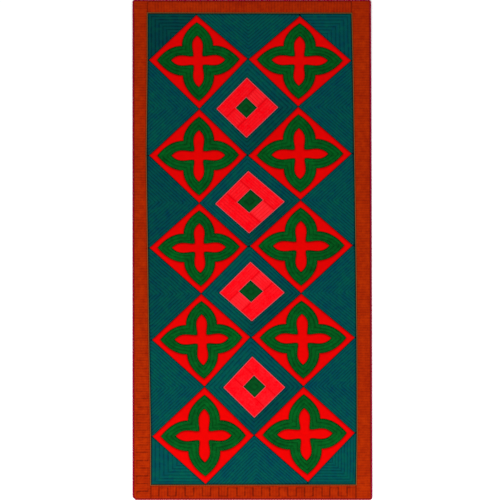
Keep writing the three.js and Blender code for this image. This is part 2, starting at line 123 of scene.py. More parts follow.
# The motif, as shares of the way from a diamond's middle to two neighbouring corners
LOBE_TIP = Vector((0.843, 0))
LOBE_BEND = Vector((0.6, 0.32))
LOBE_NOTCH = Vector((0.318, 0.318))
BEND_PULL = 2 / 3  # share of the way to the bend that a half lobe's handles reach
LEAF_TIP = Vector((0.548, 0))
LEAF_SHOULDER = Vector((0.393, 0.198))
LEAF_WAIST = Vector((0.18, 0.058))
LEAF_NOTCH = Vector((0.097, 0.097))
LEAF_AXIS = 0.85  # share of a leaf's length that its crease takes up
CURVE_STEPS = 14  # along half a lobe or half a leaf

# Sewing thread
STITCH_PITCH = 0.0090
STITCH_LENGTH = 0.0056
THREAD_WIDTH = 0.0012
SHORTEST_LINE = 0.020  # a shorter one has no stitches

# Cords of two strands
EDGE_LAY = 0.012  # length of one full turn of the strands
SEAM_LAY = 0.007
FINE_LAY = 0.005
TWIST_STEPS = 8
CORD_SIDES = 10
STRAND_DEPTH = 0.08  # of the groove between the strands, as a share of the radius
FIELD_CORD_LEAN = 0.0012  # it lies a little to the border's side of its seam
CORNER_ROUNDS = 3  # times that a cord's path is smoothed

# Photograph
PHOTO_SPAN = 1.900  # from one side of the picture to the other, at the height of the rug
PHOTO_MIDDLE = (-0.0093, -0.0004)
LENS = 100
SENSOR = 36

noise.seed_set(WAVER_SEED)


# Layout

EAST, NORTH, WEST, SOUTH = range(4)  # places of the corners of a diamond
FOUR_WAYS = ((1, 0), (0, 1), (-1, 0), (0, -1))
LEAN = 0.05  # a way that leans by this tells the two ends of a straight edge apart
EIGHT_WAYS = (
    (1, -LEAN), (1, LEAN),
    (LEAN, 1), (-LEAN, 1),
    (-1, LEAN), (-1, -LEAN),
    (-LEAN, -1), (LEAN, -1),
)


def flat_points(node):
    return [vertex.co.to_2d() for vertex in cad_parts[node].data.vertices]


def farthest(points, *way):
    return max(points, key=Vector(way).dot)


def diamond(node):
    """East, north, west and south corner of a node that stands on its corner."""
    points = flat_points(node)
    return [farthest(points, *way) for way in FOUR_WAYS]


def middle_of(corners):
    return sum(corners, Vector((0, 0))) / len(corners)


def offset(outline, distance):
    """A closed outline, run anticlockwise, moved outwards with its corners mitred."""
    moved = []
    for index, corner in enumerate(outline):
        before = (corner - outline[index - 1]).normalized()
        after = (outline[(index + 1) % len(outline)] - corner).normalized()
        outward = Vector((before.y + after.y, -before.x - after.x)).normalized()
        moved.append(corner + outward * (distance / outward.cross(after)))
    return moved


def step_count(start, end):
    return max(1, round((end - start).length / STATION))


def stations(corners):
    """How many steps each stretch of a line of corners takes."""
    return [step_count(start, end) for start, end in zip(corners, corners[1:])]


def divided(corners, steps):
    line = []
    for start, end, count in zip(corners, corners[1:], steps):
        line += [start.lerp(end, step / count) for step in range(count)]
    return line + [corners[-1]]


def round_again(line):
    return line + line[:1]


def polygon_area(points):
    return abs(sum(start.cross(end) for start, end in zip(points, round_again(points)[1:]))) / 2


def cut_size(outline):
    """Width and length of the smallest rectangle of felt that an outline can be cut from."""
    sizes = []
    for start, end in zip(outline, round_again(outline)[1:]):
        if (end - start).length > GAP:
            along = (end - start).normalized()
            lengths = [along.dot(point) for point in outline]
            widths = [along.cross(point) for point in outline]
            sizes.append((max(widths) - min(widths), max(lengths) - min(lengths)))
    return min(sizes, key=lambda size: size[0] * size[1])


def at_height(line, y):
    """The point at a height on a line that rises. Beyond its ends the line runs straight up or down."""
    for start, end in zip(line, line[1:]):
        if start.y <= y <= end.y:
            return start.lerp(end, (y - start.y) / (end.y - start.y))
    nearest = line[0] if y < line[0].y else line[-1]
    return Vector((nearest.x, y))


DIAMONDS = {(row, side): diamond(f"frame_{row}_{side}") for row in ROWS for side in SIDES}
GROUND = flat_points("ground_felt")
HEAD_WEST = farthest(GROUND, -1, 1)
HEAD_EAST = farthest(GROUND, 1, 1)
FOOT_WEST = farthest(GROUND, -1, -1)
FOOT_EAST = farthest(GROUND, 1, -1)


def beside(row, side):
    """The ground's edge beside the outer corner of a diamond."""
    east, _, west, _ = DIAMONDS[row, side]
    corner, way = (west, -1) if side == "left" else (east, 1)
    level = [point for point in GROUND if abs(point.y - corner.y) < STATION / 2]
    return farthest(level, way, 0)


def end_edge(one, other, tip):
    """The ground's edge at the head or the foot, straight across from a diamond's tip."""
    return one.lerp(other, (tip.x - one.x) / (other.x - one.x))


WEST_EDGE = [FOOT_WEST, *[beside(row, "left") for row in reversed(ROWS)], HEAD_WEST]
EAST_EDGE = [FOOT_EAST, *[beside(row, "right") for row in reversed(ROWS)], HEAD_EAST]


# Ways of quilting: the places of the rows across a piece, its section, and its stitched rows

def ease(share):
    """From 0 to 1, steep at first and then level."""
    return math.sin(min(max(share, 0), 1) * math.pi / 2)


def bulge(share):
    """From 0 at both ends to 1 in the middle."""
    return 4 * share * (1 - share)


def channels(count, seam=SEAM, stitch=STITCH, inner=SEAM):
    """Even channels, from a seam to an inner height."""
    rows = round(count * CHANNEL_ROWS)

    def lanes(width):
        return [width * row / rows for row in range(rows + 1)]

    def section(share, near, far, column):
        phase = count * share
        ridge = abs(math.sin(math.pi * phase)) ** RIDGE_ROUNDNESS
        low = stitch
        if phase < 0.5:
            low = seam
        elif phase > count - 0.5:
            low = inner
        return low + (CROWN - low) * ridge, 1 - ridge

    return lanes, section, range(CHANNEL_ROWS, rows, CHANNEL_ROWS)


def plain():
    """No lines, only a soft rise from each edge."""
    def lanes(width):
        angles = [math.pi * row / PUFF_ROWS for row in range(PUFF_ROWS + 1)]
        return [width * (1 - math.cos(angle)) / 2 for angle in angles]

    def section(share, near, far, column):
        return SEAM + (CROWN - SEAM) * ease(min(near, far) / PUFF), 0

    return lanes, section, ()


def winding(pitch, pulls):
    """One stitched line: along a rail beside the outer edge, across on a rung, along the inner rail.

    pulls say how tight the line is at each column, from 0 to 1.
    """
    def lanes(width):
        rail = [RAIL_INSET * row / RAIL_ROWS for row in range(RAIL_ROWS)]
        step = (width - 2 * RAIL_INSET) / BRICK_ROWS
        bricks = [RAIL_INSET + step * row for row in range(BRICK_ROWS + 1)]
        return rail + bricks + [width - across for across in reversed(rail)]

    def section(share, near, far, column):
        edge = min(near, far)
        phase = column / RUNG_STEPS
        rail = far if math.floor(phase) % 2 else near
        rung = abs(phase - round(phase)) * pitch
        beyond = max(0, RAIL_INSET - edge)
        rail_dip = RAIL_PULL * (1 - ease(abs(rail - RAIL_INSET) / RUNG_PUFF))
        rung_dip = 1 - ease(math.hypot(rung, beyond) / RUNG_PUFF)
        rib_dip = RIB_PULL if column % RIB_STEPS == 0 else 0
        puff = 1 - max(pulls[column] * max(rail_dip, rung_dip), rib_dip)
        top = STITCH + (CROWN - STITCH) * puff
        return SEAM + (top - SEAM) * ease(edge / PUFF), 1 - puff

    return lanes, section, ()


class Sheet:
    """A quilted sheet of felt between two matching lines of points.

    Rows run from the outer line to the inner one. A closed sheet runs round, and an open one is sewn at
    its two ends. sewn_inside says that the inner line is a seam, and not the middle of the piece.
    seam_widths are those of the painted shade along its outer and inner line and at its ends. joins are
    the
    columns where the outer line is no seam: there the felt runs on into the next sheet. Each column may
    also be given painted shade, from 0 to 1, that darkens it.
    """

    def __init__(self, outer, inner, quilting, closed=False, sewn_inside=True, seam=SEAM, nap=0.0,
                 seam_widths=(SEAM_WIDTH, SEAM_WIDTH, SEAM_WIDTH), joins=(), painted_shades=()):
        self.outer, self.inner = outer, inner
        self.seam, self.nap = seam, nap
        self.closed, self.sewn_inside = closed, sewn_inside
        self.seam_widths, self.joins = seam_widths, joins
        self.painted_shades = painted_shades or [0] * len(outer)
        lanes, self.section, self.lines = quilting
        self.columns = []
        for column, (start, end) in enumerate(zip(outer, inner)):
            width = max((end - start).length, GAP)
            outer_slant = self.slant(outer, column)
            inner_slant = self.slant(inner, column) if sewn_inside else 1
            slants = (outer_slant, inner_slant)
            places = [self.place(column, across / width, width, slants) for across in lanes(width)]
            self.columns.append(places)

    def slant(self, line, column):
        """How squarely a column leaves a line, up to 1."""
        last = len(line) - 1
        before, after = column - 1, column + 1
        if self.closed:
            before, after = before % last, after % last
        tangent = line[min(after, last)] - line[max(before, 0)]
        way = self.inner[column] - self.outer[column]
        if tangent.length < GAP or way.length < GAP:
            return 1
        return max(abs(tangent.normalized().cross(way.normalized())), LEAST_SLANT)

    def end_distance(self, point):
        if self.closed:
            return math.inf
        distances = []
        for end in ((self.outer[0], self.inner[0]), (self.outer[-1], self.inner[-1])):
            nearest, _ = geometry.intersect_point_line(point, *end)
            distances.append((point - nearest.to_2d()).length)
        return min(distances)

    def stray(self, column, share, near):
        """How far a hand-sewn line is out of its place."""
        start, end = self.outer[column], self.inner[column]
        spot = start.lerp(end, share).to_3d()
        waver = WAVER * noise.noise_vector(spot / WAVER_LENGTH).to_2d()
        lane = Vector((near / CHEVRON_PITCH, start.x * LANE_SHIFT_SCALE, start.y * LANE_SHIFT_SCALE))
        shift = LANE_SHIFT * noise.noise(lane) * bulge(share)
        return waver + shift * (end - start).normalized()

    def shade(self, column, near, far, ends):
        """How much painted shade the felt gets by its seams, where it also stands for dark thread, and by
        its column, from 0 to 1.
        """
        outer_width, inner_width, end_width = self.seam_widths
        seams = [(far, inner_width), (ends, end_width)]
        if column not in self.joins:
            seams.append((near, outer_width))
        clear = min(ease(distance / reach) for distance, reach in seams)
        return 1 - clear * (1 - self.painted_shades[column])

    def place(self, column, share, width, slants):
        """A point of the face, how far it sinks into a stitched line, from 0 to 1, and its painted shade.
        """
        near = share * width * slants[0]
        far = (1 - share) * width * slants[1] if self.sewn_inside else width
        point = self.outer[column].lerp(self.inner[column], share)
        ends = self.end_distance(point)
        level, groove = self.section(share, near, far, column)
        if column in self.joins:
            level = max(level, STITCH)
        drop = ease(ends / END_DROP)
        steady = ease(min(near, far, ends) / STEADY)
        swell = SWELL * steady * noise.noise(point.to_3d() / SWELL_LENGTH)
        height = self.seam + (level - self.seam) * drop + swell
        point += steady * self.stray(column, share, near)
        return Vector((*point, height)), groove * drop, self.shade(column, near, far, ends)

    def stitched(self):
        return [[column[row][0] for column in self.columns] for row in self.lines]

    def outline(self):
        return self.outer[:-1] if self.closed else self.outer + self.inner[::-1]

    def area(self):
        window = polygon_area(self.inner[:-1]) if self.closed and self.sewn_inside else 0
        return polygon_area(self.outline()) - window

    def mesh(self, name):
        columns, rows = len(self.columns) - 1, len(self.columns[0]) - 1
        bm = bmesh.new()
        groove = bm.verts.layers.float.new("groove")
        # this layer carries painted shade: at seams, where it also stands for dark thread, and on shaded
        # columns
        seam = bm.verts.layers.float.new("seam")
        nap = bm.verts.layers.float.new("nap")
        for vert, column, row in grid(bm, columns, rows):
            vert.co, vert[groove], vert[seam] = self.columns[column][row]
            vert[nap] = self.nap
        bmesh.ops.remove_doubles(bm, verts=bm.verts, dist=WELD)
        smooth(bm)
        close_below(bm)
        return made(bm, name)


def grid(bm, columns, rows):
    """A grid of faces that is one wide and one long: its points, each with its column and its row."""
    half = 0.5
    bmesh.ops.create_grid(bm, x_segments=columns, y_segments=rows, size=half)
    for vert in bm.verts:
        yield vert, round((vert.co.x + half) * columns), round((vert.co.y + half) * rows)


def smooth(bm):
    for face in bm.faces:
        face.smooth = True


def close_below(bm):
    """Walls from a face's edges down to the floor, and a flat underside."""
    rim = [edge for edge in bm.edges if edge.is_boundary]
    for edge in rim:
        edge.smooth = False
    wall = bmesh.ops.extrude_edge_only(bm, edges=rim)["geom"]
    for vert in (item for item in wall if isinstance(item, bmesh.types.BMVert)):
        vert.co.z = 0
    foot = [item for item in wall if isinstance(item, bmesh.types.BMEdge) and item.is_boundary]
    bmesh.ops.triangle_fill(bm, use_beauty=False, use_dissolve=False, edges=foot, normal=(0, 0, -1))
    bmesh.ops.recalc_face_normals(bm, faces=bm.faces)


def made(bm, name):
    mesh = bpy.data.meshes.new(name)
    bm.to_mesh(mesh)
    bm.free()
    piece = bpy.data.objects.new(name, mesh)
    bpy.context.scene.collection.objects.link(piece)
    return piece


# Materials

class Value:
    """A number or a colour that changes over a surface, with the usual sums for numbers."""

    def __init__(self, surface, socket):
        self.surface, self.socket = surface, socket

    def sum(self, operation, one, other):
        return self.surface.node("ShaderNodeMath", {"operation": operation}, {0: one, 1: other})

    def __add__(self, other):
        return self.sum("ADD", self, other)

    def __mul__(self, other):
        return self.sum("MULTIPLY", self, other)

    def __pow__(self, other):
        return self.sum("POWER", self, other)

    __radd__ = __add__
    __rmul__ = __mul__


MIX_SHARE, MIX_ONE, MIX_OTHER = 0, 6, 7  # places of the sockets of a mix of colours
MIX_RESULT = 2


class Surface:
    """A material and the nodes that are added to it."""

    def __init__(self, name):
        self.material = bpy.data.materials.new(name)
        self.material.use_nodes = True
        self.tree = self.material.node_tree
        self.shader = self.tree.nodes["Principled BSDF"]

    def node(self, kind, settings, values, output=0):
        added = self.tree.nodes.new(kind)
        for name, setting in settings.items():
            setattr(added, name, setting)
        for name, value in values.items():
            self.feed(added.inputs[name], value)
        return Value(self, added.outputs[output])

    def feed(self, socket, value):
        if isinstance(value, Value):
            self.tree.links.new(value.socket, socket)
        else:
            socket.default_value = value

    def set(self, values):
        for name, value in values.items():
            self.feed(self.shader.inputs[name], value)

    def place(self, stretch=(1, 1, 1)):
        here = self.node("ShaderNodeTexCoord", {}, {}, "Object")
        return self.node("ShaderNodeMapping", {}, {"Vector": here, "Scale": stretch})

    def noise(self, place, scale, detail=2.0):
        return self.node("ShaderNodeTexNoise", {}, {"Vector": place, "Scale": scale, "Detail": detail})

    def attribute(self, name):
        return self.node("ShaderNodeAttribute", {"attribute_name": name}, {}, "Fac")

    def limited(self, value, low, high):
        """A value from low to high, spread from 0 to 1 and held there."""
        values = {"Value": value, "From Min": low, "From Max": high}
        return self.node("ShaderNodeMapRange", {}, values)

    def mix(self, share, one, other):
        values = {MIX_SHARE: share, MIX_ONE: one, MIX_OTHER: other}
        return self.node("ShaderNodeMix", {"data_type": "RGBA"}, values, MIX_RESULT)

    def bump(self, height, depth, strength):
        values = {"Height": height, "Distance": depth, "Strength": strength}
        return self.node("ShaderNodeBump", {}, values)


def linear(red, green, blue):
    """A colour as it shows on a screen, from 0 to 255, as the light that it stands for.

    The numbers are those of the usual curve of a screen.
    """
    def light(value):
        value /= 255
        return value / 12.92 if value <= 0.04045 else ((value + 0.055) / 1.055) ** 2.4
    return (light(red), light(green), light(blue), 1)


CLOUD_SCALE = 5
MOTTLE_SCALE = 55
FLECK_SCALE = 130
FIBRE_SCALE = 900
FIBRE_STRETCH = (1, 0.25, 1)
MOTTLE_DETAIL = 4
FINE_DETAIL = 3
SOFT_LIMITS = (0.3, 0.7)  # noise below or above these is none or full
FLECK_LIMITS = (0.25, 0.75)
CLOUD_SHARE = 0.25  # of the second shade of the dye
MOTTLE_SHARE = 0.4
FLECK_SHARE = 0.35
WOOL_ROUGHNESS = 0.95
WOOL_SHINE = 0.02
WOOL_SHEEN = 0.12
FIBRE_DEPTH = 0.0008
FLECK_HEIGHT = 0.6  # beside that of the fibres
FELT_BUMP = 0.5
GROOVE_SHADE = 0.40  # painted shade in the groove of a stitched line
RUNG_SHADE = 1.4  # in the border
STRIP_SHADE = 0.7  # in a medallion
LEAST_MOTTLE = 0.4  # share of that shade where the felt is not mottled
MORE_MOTTLE = 1.2  # and what the mottle adds
GROOVE_SHARPNESS = 1.5
STRAND_SHARE = 0.5  # of a cord's painted shade in the groove between its strands
HAIR_SHARE = 0.5
YARN_LIMITS = (0.2, 1)
YARN_BUMP = 0.4


def woollen(surface, tint):
    """Hardly any shine, and a soft sheen in the wool's own colour."""
    surface.set({
        "Roughness": WOOL_ROUGHNESS,
        "Specular IOR Level": WOOL_SHINE,
        "Sheen Weight": WOOL_SHEEN,
        "Sheen Tint": tint,
    })


def felt(name, colour, other, shade_and_dark_tone, line_shade=GROOVE_SHADE):
    """Dyed felt in two shades in soft clouds, darkened by painted shade in its lines and seams, where it
    also stands for dark thread.
    """
    surface = Surface(name)
    place = surface.place()
    clouds = surface.limited(surface.noise(place, CLOUD_SCALE), *SOFT_LIMITS)
    mottle = surface.limited(surface.noise(place, MOTTLE_SCALE, MOTTLE_DETAIL), *SOFT_LIMITS)
    fleck = surface.limited(surface.noise(place, FLECK_SCALE, FINE_DETAIL), *FLECK_LIMITS)
    fibre = surface.noise(surface.place(FIBRE_STRETCH), FIBRE_SCALE, FINE_DETAIL)
    clouded = CLOUD_SHARE * clouds + MOTTLE_SHARE * mottle + FLECK_SHARE * fleck
    dye = surface.mix(surface.attribute("nap") + clouded, linear(*colour), linear(*other))
    # painted shade in stitched lines and seams, and on shaded columns, mixed in as a darker colour
    groove = surface.attribute("groove") ** GROOVE_SHARPNESS
    lines = line_shade * (LEAST_MOTTLE + MORE_MOTTLE * mottle) * groove
    shade = surface.limited(lines + surface.attribute("seam"), 0, 1)
    woollen(surface, linear(*colour))
    surface.set({
        "Base Color": surface.mix(shade, dye, linear(*shade_and_dark_tone)),
        "Normal": surface.bump(fibre + FLECK_HEIGHT * fleck, FIBRE_DEPTH, FELT_BUMP),
    })
    return surface.material


def yarn(name, colour, shade_and_dark_tone):
    """Spun wool: painted shade between its strands, and fine hairs of a darker tone."""
    surface = Surface(name)
    hair = surface.noise(surface.place(), FIBRE_SCALE, FINE_DETAIL)
    groove = surface.attribute("groove")
    shade = surface.limited(STRAND_SHARE * groove + HAIR_SHARE * hair, *YARN_LIMITS)
    woollen(surface, linear(*colour))
    surface.set({
        "Base Color": surface.mix(shade, linear(*colour), linear(*shade_and_dark_tone)),
        "Normal": surface.bump(hair, FIBRE_DEPTH, YARN_BUMP),
    })
    return surface.material


# the third colour of each felt is painted in as shade in its grooves and seams
FELTS = {
    "teal_felt": felt("teal_felt", (2, 80, 59), (1, 50, 74), (1, 18, 24)),
    "red_felt": felt("red_felt", (211, 2, 1), (191, 2, 2), (166, 2, 2)),
    "green_felt": felt("green_felt", (3, 92, 28), (3, 50, 15), (2, 24, 6)),
    "pink_felt": felt("pink_felt", (228, 1, 14), (234, 38, 45), (206, 1, 12), STRIP_SHADE),
    "core_felt": felt("core_felt", (5, 75, 27), (4, 48, 17), (3, 34, 11)),
    "rust_felt": felt("rust_felt", (167, 45, 2), (136, 24, 2), (104, 20, 3), RUNG_SHADE),
}
# the second colour of each cord is painted shade between its strands, mixed with its darker hairs
YARNS = {
    "crimson_cord": yarn("crimson_cord", (150, 8, 50), (92, 2, 32)),
    "tan_cord": yarn("tan_cord", (130, 86, 42), (66, 42, 18)),
    "pale_cord": yarn("pale_cord", (204, 80, 90), (176, 54, 64)),
}
THREADS = {
    "teal_felt": yarn("teal_thread", (2, 52, 56), (1, 30, 36)),
    "green_felt": yarn("green_thread", (4, 58, 16), (2, 30, 8)),
    "pink_felt": yarn("pink_thread", (214, 30, 44), (150, 12, 28)),
    "rust_felt": yarn("rust_thread", (138, 32, 4), (104, 20, 4)),
}


# Sewing

def steps_along(line, pitch):
    """Places and directions at every step along a line of points."""
    left = pitch / 2
    for start, end in zip(line, line[1:]):
        length = (end - start).length
        while left <= length and length > 0:
            yield start.lerp(end, left / length), (end - start).normalized()
            left += pitch
        left -= length


def stitches(lines):
    """Short loops of thread, as a mesh of their own."""
    bm = bmesh.new()
    bm.verts.layers.float.new("groove")
    size = Matrix.Diagonal((STITCH_LENGTH / 2, THREAD_WIDTH / 2, THREAD_WIDTH / 2, 1))
    for line in lines:
        length = sum((end - start).length for start, end in zip(line, line[1:]))
        if length > SHORTEST_LINE:
            for place, way in steps_along(line, STITCH_PITCH):
                turn = way.to_track_quat("X", "Z").to_matrix().to_4x4()
                spot = Matrix.Translation(place) @ turn @ size
                bmesh.ops.create_icosphere(bm, subdivisions=1, radius=1, matrix=spot)
    mesh = bpy.data.meshes.new("stitches")
    bm.to_mesh(mesh)
    bm.free()
    return mesh


sewn = {slot: [] for slot in THREADS}


def sew_down(sheet, lines, name, slot, node):
    """A felt piece in its place, with its lines of stitches kept for the thread."""
    piece = sheet.mesh(name)
    piece.data.materials.append(FELTS[slot])
    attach(piece, "root")
    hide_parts(node)
    cut_size(sheet.outline())
    sheet.area()
    if lines:
        sewn[slot].append(stitches(lines))


def thread(slot):
    """All the stitches in one colour of felt."""
    bm = bmesh.new()
    for mesh in sewn[slot]:
        bm.from_mesh(mesh)
    smooth(bm)
    piece = made(bm, slot.replace("felt", "thread"))
    piece.data.materials.append(THREADS[slot])
    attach(piece, "root")


# Ground

ENDS_AT_BORDER = (SEAM_WIDTH, SEAM_WIDTH, CORD_SEAM_WIDTH)
SIDES_AT_BORDER = (CORD_SEAM_WIDTH, CORD_SEAM_WIDTH, SEAM_WIDTH)
INSIDE_AT_CORD = (SEAM_WIDTH, CORD_SEAM_WIDTH, SEAM_WIDTH)
BORDER_AT_CORD = (SEAM_WIDTH, CORD_SEAM_WIDTH, BUTT_SEAM_WIDTH)
PAINTED_GROUND_SHADE = {  # painted shade, darkening these parts of the ground all over
    "ground_head_left": 0.32,
    "ground_side_2_left": 0.1,
    "ground_side_3_left": 0.12,
}
PAINTED_SURROUND_SHADE = Vector((0.2, -0.2))  # painted shade on this side of the felt round a medallion


def fan(name, outline, focus_share, pitch, seam_widths):
    """Lines nested in a corner. The first side of the outline is where they end, round a focus."""
    outline = offset(outline, -GAP)
    base, chevron = outline[:2], outline[1:] + outline[:1]
    focus = base[0].lerp(base[1], focus_share)
    start, end = max(zip(chevron, chevron[1:]), key=lambda leg: (leg[1] - leg[0]).length)
    depth = abs((end - start).normalized().cross(focus - start))
    steps = stations(chevron)
    outer = divided(chevron, steps)
    inner = [focus] * len(outer)
    joins = {*range(steps[0]), *range(len(outer) - steps[-1], len(outer))}
    quilting = channels(round(depth / pitch))
    # painted shade over the whole of a few fans
    painted_shades = [PAINTED_GROUND_SHADE.get(name, 0)] * len(outer)
    sheet = Sheet(outer, inner, quilting, sewn_inside=False,
                  seam_widths=seam_widths, joins=joins, painted_shades=painted_shades)
    sew_down(sheet, sheet.stitched(), name, "teal_felt", "ground_felt")


def side_fan(row, side):
    """Beside the border, between one row of diamonds and the next."""
    upper, lower = DIAMONDS[row, side], DIAMONDS[row + 1, side]
    edge = [beside(row, side), beside(row + 1, side)]
    if side == "left":
        outline = [*edge, lower[WEST], lower[NORTH], upper[SOUTH], upper[WEST]]
    else:
        outline = [*edge[::-1], upper[EAST], upper[SOUTH], lower[NORTH], lower[EAST]]
    fan(f"ground_side_{row}_{side}", outline, MIDDLE_FOCUS, CHEVRON_PITCH, ENDS_AT_BORDER)


def end_fans():
    """At the head and the foot, between the left and the right diamond."""
    left, right = DIAMONDS[HEAD_ROW, "left"], DIAMONDS[HEAD_ROW, "right"]
    edge = [end_edge(HEAD_WEST, HEAD_EAST, tip) for tip in (right[NORTH], left[NORTH])]
    outline = [*edge, left[NORTH], left[EAST], right[WEST], right[NORTH]]
    fan("ground_head", outline, MIDDLE_FOCUS, CHEVRON_PITCH, ENDS_AT_BORDER)
    left, right = DIAMONDS[FOOT_ROW, "left"], DIAMONDS[FOOT_ROW, "right"]
    edge = [end_edge(FOOT_WEST, FOOT_EAST, tip) for tip in (left[SOUTH], right[SOUTH])]
    outline = [*edge, right[SOUTH], right[WEST], left[EAST], left[SOUTH]]
    fan("ground_foot", outline, MIDDLE_FOCUS, CHEVRON_PITCH, ENDS_AT_BORDER)


def corner_fans():
    """In the corners, with lines running beside the border."""
    _, north, west, _ = DIAMONDS[HEAD_ROW, "left"]
    outline = [west, north, end_edge(HEAD_WEST, HEAD_EAST, north), HEAD_WEST, beside(HEAD_ROW, "left")]
    fan("ground_head_left", outline, CORNER_FOCUS, CORNER_PITCH, SIDES_AT_BORDER)
    east, north, _, _ = DIAMONDS[HEAD_ROW, "right"]
    outline = [north, east, beside(HEAD_ROW, "right"), HEAD_EAST, end_edge(HEAD_WEST, HEAD_EAST, north)]
    fan("ground_head_right", outline, 1 - CORNER_FOCUS, CORNER_PITCH, SIDES_AT_BORDER)
    _, _, west, south = DIAMONDS[FOOT_ROW, "left"]
    outline = [south, west, beside(FOOT_ROW, "left"), FOOT_WEST, end_edge(FOOT_WEST, FOOT_EAST, south)]
    fan("ground_foot_left", outline, 1 - CORNER_FOCUS, CORNER_PITCH, SIDES_AT_BORDER)
    east, _, _, south = DIAMONDS[FOOT_ROW, "right"]
    outline = [east, south, end_edge(FOOT_WEST, FOOT_EAST, south), FOOT_EAST, beside(FOOT_ROW, "right")]
    fan("ground_foot_right", outline, CORNER_FOCUS, CORNER_PITCH, SIDES_AT_BORDER)


def surround(index):
    """The felt round a medallion, in the room between four diamonds."""
    upper_left, upper_right = DIAMONDS[index, "left"], DIAMONDS[index, "right"]
    lower_left, lower_right = DIAMONDS[index + 1, "left"], DIAMONDS[index + 1, "right"]
    outline = offset([
        lower_right[NORTH], upper_right[SOUTH],
        upper_right[WEST], upper_left[EAST],
        upper_left[SOUTH], lower_left[NORTH],
        lower_left[EAST], lower_right[WEST],
    ], -GAP)
    rim = offset(diamond(f"medallion_{index}"), GAP)
    corners = round_again(outline)
    steps = stations(corners)
    outer = divided(corners, steps)
    inner = divided([corner for corner in rim for _ in range(2)] + rim[:1], steps)
    ways = [(start - end).normalized() for start, end in zip(outer, inner)]
    # painted shade on one side of the felt round the medallion
    painted_shades = [max(0, PAINTED_SURROUND_SHADE.dot(way)) for way in ways]
    quilting = channels(SURROUND_CHANNELS)
    sheet = Sheet(outer, inner, quilting, closed=True, seam_widths=INSIDE_AT_CORD, painted_shades=painted_shades)
    sew_down(sheet, sheet.stitched(), f"ground_middle_{index}", "teal_felt", "ground_felt")


# Motifs

def half_curve(start, start_bend, end_bend, end):
    points = geometry.interpolate_bezier(start, start_bend, end_bend, end, CURVE_STEPS + 1)
    return [point.to_2d() for point in points]


LOBE_HANDLES = [end.lerp(LOBE_BEND, BEND_PULL) for end in (LOBE_TIP, LOBE_NOTCH)]
HALF_LOBE = half_curve(LOBE_TIP, *LOBE_HANDLES, LOBE_NOTCH)
HALF_LEAF = half_curve(LEAF_TIP, LEAF_SHOULDER, LEAF_WAIST, LEAF_NOTCH)
HALF_CREASE = [Vector((LEAF_AXIS * (pair.x - pair.y), 0)) for pair in HALF_LEAF]


def fourfold(middle, corners, half):
    """A closed line in four like quarters, each from a tip to the notch and on to the next tip."""
    other = [pair.yx for pair in reversed(half)]
    quarter = half[:-1] + other[:-1]
    line = []
    arms = [corner - middle for corner in corners]
    for arm, following in zip(arms, round_again(arms)[1:]):
        line += [middle + arm * pair.x + following * pair.y for pair in quarter]
    return line


def motif(row, side):
    """A frame, a quatrefoil in its window and a cross in the quatrefoil's."""
    corners = DIAMONDS[row, side]
    middle = middle_of(corners)
    rim = divided(round_again(corners), [2 * CURVE_STEPS] * len(corners))
    lobes = fourfold(middle, corners, HALF_LOBE)
    leaves = fourfold(middle, corners, HALF_LEAF)
    creases = fourfold(middle, corners, HALF_CREASE)
    label = f"{row}_{side}"

    window = offset(lobes, GAP / 2)
    frame_felt = Sheet(rim, round_again(window), plain(), closed=True)
    sew_down(frame_felt, [], f"red_frame_{label}", "red_felt", f"frame_{label}")

    lobe_rim, leaf_window = offset(lobes, -GAP / 2), offset(leaves, GAP / 2)
    ring = channels(QUATREFOIL_CHANNELS)
    quatrefoil = Sheet(round_again(lobe_rim), round_again(leaf_window), ring, closed=True)
    lines = quatrefoil.stitched()
    sew_down(quatrefoil, lines, f"green_quatrefoil_{label}", "green_felt", f"quatrefoil_{label}")

    leaf_rim = offset(leaves, -GAP / 2)
    cross = Sheet(round_again(leaf_rim), round_again(creases), plain(), closed=True, sewn_inside=False)
    sew_down(cross, [], f"red_cross_{label}", "red_felt", f"cross_{label}")


# Medallions

def crossing(start, end, one, other):
    """The share of the way from start to end where a line through two points crosses it."""
    way = other - one
    return (one - start).cross(way) / (end - start).cross(way)


def either_side(span, gap):
    """The spans from 0 to 1 on the two sides of one."""
    low, high = span
    return (0, low - gap), (high + gap, 1)


def medallion(index):
    """Two long strips and two short ones round a core."""
    east, north, west, south = diamond(f"medallion_{index}")
    core = diamond(f"core_{index}")
    core_east, core_north, core_west, core_south = core
    rising_cuts = (core_south, core_west), (core_east, core_north)
    falling_cuts = (core_south, core_east), (core_west, core_north)
    rising = [crossing(south, east, *cut) for cut in rising_cuts]
    falling = [crossing(south, west, *cut) for cut in falling_cuts]
    long_rises = LONG_STRIPS_RISE[index]
    core_along, core_across = (rising, falling) if long_rises else (falling, rising)
    gap = GAP / (east - south).length

    def spot(along, across):
        rising, falling = (along, across) if long_rises else (across, along)
        return south.lerp(east, rising).lerp(west.lerp(north, rising), falling)

    def lay(name, one, other, nap):
        steps = stations(one)
        quilting = channels(STRIP_CHANNELS, STRIP_SEAM, STRIP_STITCH, STRIP_SEAM)
        sheet = Sheet(divided(one, steps), divided(other, steps), quilting, seam=STRIP_SEAM, nap=nap)
        sew_down(sheet, sheet.stitched(), name, "pink_felt", f"medallion_{index}")

    for number in range(2):
        low, high = either_side(core_across, gap)[number]
        lay(f"long_strip_{index}_{number + 1}",
            [spot(0, low), spot(1, low)], [spot(0, high), spot(1, high)], LONG_STRIP_NAP)
        low, high = either_side(core_along, gap)[number]
        lay(f"short_strip_{index}_{number + 1}",
            [spot(low, share) for share in core_across], [spot(high, share) for share in core_across],
            SHORT_STRIP_NAPS[index][number])

    corners = round_again(core)
    rim = divided(corners, stations(corners))
    inner = [middle_of(core)] * len(rim)
    quilting = channels(CORE_CHANNELS, inner=STITCH)
    heart = Sheet(rim, inner, quilting, closed=True, sewn_inside=False)
    sew_down(heart, [], f"green_core_{index}", "core_felt", f"core_{index}")


# Border

